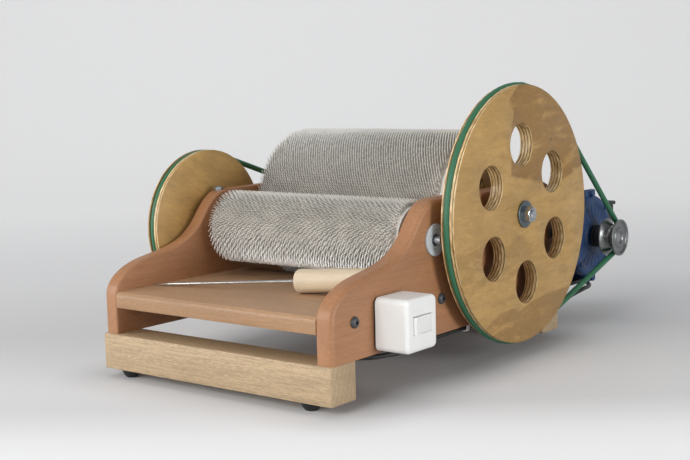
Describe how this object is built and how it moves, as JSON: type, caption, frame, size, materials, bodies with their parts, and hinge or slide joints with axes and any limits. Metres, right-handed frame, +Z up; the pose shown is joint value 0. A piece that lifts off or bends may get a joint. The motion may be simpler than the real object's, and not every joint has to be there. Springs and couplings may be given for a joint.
{
  "type": "carding machine",
  "caption": "Motorised drum carder: fibre is fed from a shelf under a small toothed roller onto a large toothed drum, both turned by round belts from an electric motor.",
  "frame": {"origin": "centre of the bounding box on the plane that the feet stand on", "axes": "+X to the right across the machine towards the large belt wheel, +Y from the feed shelf back to the motor, +Z up"},
  "size_m": [0.452, 0.7494, 0.3603],
  "materials": {
    "pale_oak": "pale straight-grained wood, satin varnish",
    "cherry_wood": "reddish straight-grained wood, satin varnish",
    "shelf_wood": "brown fine-grained board, satin varnish",
    "plywood": "plywood with ply lines on the rim, clear varnish",
    "roller_birch": "turned pale wood, unfinished",
    "awl_birch": "turned pale wood, waxed",
    "card_clothing": "grey flexible backing set with fine steel wire points",
    "foot_rubber": "matt black rubber",
    "lead_rubber": "black round cable sheath",
    "belt_green": "green round polyurethane cord, slightly rough",
    "black_steel": "black oxide or black paint, satin",
    "bright_steel": "bright zinc-plated steel",
    "shaft_steel": "ground steel with a black rubber seal ring",
    "pulley_metal": "turned aluminium",
    "motor_blue": "cast aluminium, semi-gloss blue paint",
    "bearing_plastic": "light grey moulded plastic",
    "black_plastic": "black moulded plastic, fine texture",
    "switch_white": "white moulded plastic, semi-gloss"
  },
  "bodies": {
    "frame": {"front_beam": "pale_oak", "rear_beam": "pale_oak", "foot_front_left": "foot_rubber", "foot_rear_left": "foot_rubber", "foot_front_right": "foot_rubber", "foot_rear_right": "foot_rubber", "side_panel_right": "cherry_wood", "side_panel_left": "cherry_wood", "feed_shelf": "shelf_wood", "rear_stretcher": "cherry_wood", "panel_bolt_front_right": "black_steel", "panel_bolt_front_left": "black_steel", "panel_bolt_middle_right": "black_steel", "panel_bolt_middle_left": "black_steel", "panel_bolt_rear_right": "black_steel", "panel_bolt_rear_left": "black_steel", "drum_bearing_right": "bearing_plastic", "drum_bearing_left": "bearing_plastic", "lickerin_bearing_right": "bearing_plastic", "lickerin_bearing_left": "bearing_plastic", "bearing_clamp_screw": "bright_steel", "drive_belt": "belt_green", "lickerin_belt": "belt_green", "motor_plate": "black_steel", "motor_body": "motor_blue", "motor_drive_shield": "motor_blue", "motor_fan_cover": "motor_blue", "motor_foot_rear": "motor_blue", "motor_foot_front": "motor_blue", "motor_bolt_1": "bright_steel", "motor_bolt_2": "bright_steel", "motor_bolt_3": "bright_steel", "motor_bolt_4": "bright_steel", "motor_terminal_box": "black_plastic", "switch_base_plate": "black_plastic", "switch_housing": "switch_white", "motor_lead": "lead_rubber", "lead_clip_front": "switch_white", "lead_clip_rear": "switch_white"},
    "main_drum": {"drum_shell": "roller_birch", "drum_end_right": "plywood", "drum_end_left": "plywood", "drum_card_cloth": "card_clothing", "drum_axle": "bright_steel", "drive_wheel": "plywood", "drive_wheel_washer": "bright_steel", "drive_wheel_nut": "bright_steel", "lickerin_drive_pulley": "plywood", "drum_left_nut": "bright_steel"},
    "licker_in": {"lickerin_core": "roller_birch", "lickerin_card_cloth": "card_clothing", "lickerin_axle": "bright_steel", "lickerin_wheel": "plywood", "lickerin_nut": "bright_steel"},
    "motor_rotor": {"motor_shaft": "shaft_steel", "motor_pulley": "pulley_metal"},
    "rocker": {"switch_rocker": "switch_white"},
    "awl": {"awl_rod": "bright_steel", "awl_handle": "awl_birch"}
  },
  "joints": [
    {"name": "drum_spin", "type": "hinge", "parent": "frame", "child": "main_drum", "pos_m": [-0.00847, -0.00735, 0.1909], "axis": [1, 0, 0], "continuous": true},
    {"name": "lickerin_spin", "type": "hinge", "parent": "frame", "child": "licker_in", "pos_m": [-0.00847, -0.16915, 0.1743], "axis": [1, 0, 0], "continuous": true},
    {"name": "motor_spin", "type": "hinge", "parent": "frame", "child": "motor_rotor", "pos_m": [0.17153, 0.27125, 0.128], "axis": [1, 0, 0], "continuous": true},
    {"name": "switch_rock", "type": "hinge", "parent": "frame", "child": "rocker", "pos_m": [0.22053, -0.26475, 0.092], "axis": [0, 0, 1], "range_deg": [-11.5, 0]},
    {"name": "awl_lift", "type": "slide", "parent": "frame", "child": "awl", "axis": [0, 0, 1], "range_m": [0, 0.04]}
  ],
  "couplings": [
    {"joint": "lickerin_spin", "follows": "drum_spin", "ratio": 0.33198},
    {"joint": "motor_spin", "follows": "drum_spin", "ratio": 7.3556}
  ]
}
